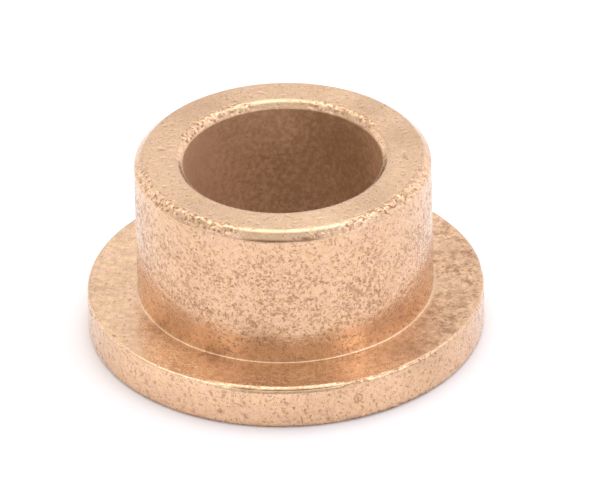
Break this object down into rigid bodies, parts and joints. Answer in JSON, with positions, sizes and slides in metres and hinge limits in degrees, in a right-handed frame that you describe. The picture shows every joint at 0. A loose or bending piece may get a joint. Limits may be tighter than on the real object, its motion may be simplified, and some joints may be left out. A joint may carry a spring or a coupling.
{
  "type": "flanged sleeve bushing",
  "caption": "Plain flanged sleeve bearing pressed from porous bronze, with a chamfered through bore and a thin round flange that takes end thrust.",
  "frame": {"origin": "centre of the flange's bottom face, on the bore's axis", "axes": "+Z along the bore's axis, from the flange towards the plain end; X and Y are alike"},
  "size_m": [0.0254, 0.0254, 0.0125],
  "materials": {
    "sintered_bronze": "as-pressed porous bronze, satin, with fine open pores and bright worn edges"
  },
  "bodies": {
    "root": {"flanged_sleeve": "sintered_bronze"}
  },
  "joints": []
}
